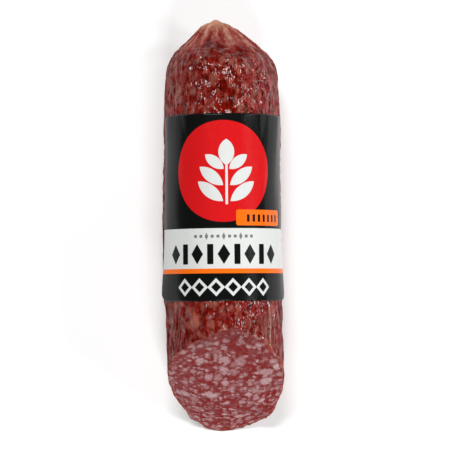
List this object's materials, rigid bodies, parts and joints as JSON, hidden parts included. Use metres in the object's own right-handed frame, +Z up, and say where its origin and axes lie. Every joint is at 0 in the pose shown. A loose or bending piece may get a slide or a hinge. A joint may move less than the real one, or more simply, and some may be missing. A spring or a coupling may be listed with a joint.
{
  "type": "dry-cured sausage half stick with front label",
  "caption": "Half stick of dry-cured sausage lying on its side: gathered clipped end, slanted cut face, thin casing and a round-cornered front label.",
  "frame": {"origin": "on the surface that it lies on, under the middle of the whole sausage", "axes": "+Y along the sausage towards its gathered end, +Z up, +X to the right seen from above; the slanted cut faces -Y and up"},
  "size_m": [0.0446, 0.1536, 0.044],
  "materials": {
    "cured_meat": "moist cut, lean red with pale fat grains",
    "casing_skin": "glossy, tight, finely wrinkled collagen skin",
    "label_film": "gloss printed film",
    "clip_wire": "satin drawn wire"
  },
  "bodies": {
    "root": {"sausage_meat": "cured_meat", "casing": "casing_skin", "label": "label_film", "clip": "clip_wire"}
  },
  "joints": []
}
